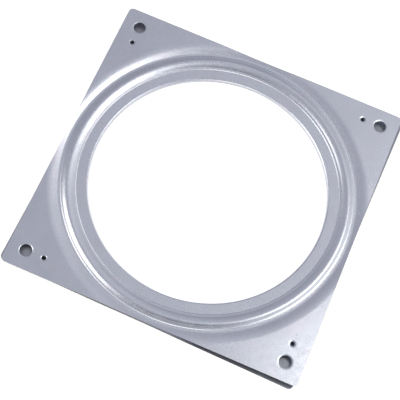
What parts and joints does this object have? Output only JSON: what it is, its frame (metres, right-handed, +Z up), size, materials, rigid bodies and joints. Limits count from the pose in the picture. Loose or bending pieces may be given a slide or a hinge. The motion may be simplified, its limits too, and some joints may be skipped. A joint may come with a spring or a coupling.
{
  "type": "lazy susan bearing",
  "caption": "Square galvanised swivel bearing: stamped plates with sunken ball races round a large opening, the upper one turning on the lower.",
  "frame": {"origin": "on the swivel axis, in the plane of the lower plate's outer flat corners", "axes": "+Z up along the swivel axis, towards the upper plate; X and Y along the lower plate's sides"},
  "size_m": [0.3106, 0.3106, 0.008],
  "materials": {
    "upper_sheet": "galvanised",
    "lower_sheet": "galvanised",
    "ball_steel": "polished"
  },
  "bodies": {
    "lower": {"lower_plate": "lower_sheet"},
    "upper": {"upper_plate": "upper_sheet"},
    "balls": {"ball_01": "ball_steel", "ball_02": "ball_steel", "ball_03": "ball_steel", "ball_04": "ball_steel", "ball_05": "ball_steel", "ball_06": "ball_steel", "ball_07": "ball_steel", "ball_08": "ball_steel", "ball_09": "ball_steel", "ball_10": "ball_steel", "ball_11": "ball_steel", "ball_12": "ball_steel", "ball_13": "ball_steel", "ball_14": "ball_steel", "ball_15": "ball_steel", "ball_16": "ball_steel", "ball_17": "ball_steel", "ball_18": "ball_steel", "ball_19": "ball_steel", "ball_20": "ball_steel", "ball_21": "ball_steel", "ball_22": "ball_steel", "ball_23": "ball_steel", "ball_24": "ball_steel", "ball_25": "ball_steel", "ball_26": "ball_steel", "ball_27": "ball_steel", "ball_28": "ball_steel", "ball_29": "ball_steel", "ball_30": "ball_steel", "ball_31": "ball_steel", "ball_32": "ball_steel", "ball_33": "ball_steel", "ball_34": "ball_steel", "ball_35": "ball_steel", "ball_36": "ball_steel"}
  },
  "joints": [
    {"name": "swivel", "type": "hinge", "parent": "lower", "child": "upper", "pos_m": [0, 0, 0.004], "axis": [0, 0, 1], "continuous": true},
    {"name": "ball_orbit", "type": "hinge", "parent": "lower", "child": "balls", "pos_m": [0, 0, 0.004], "axis": [0, 0, 1], "continuous": true}
  ],
  "couplings": [
    {"joint": "ball_orbit", "follows": "swivel", "ratio": 0.5}
  ]
}
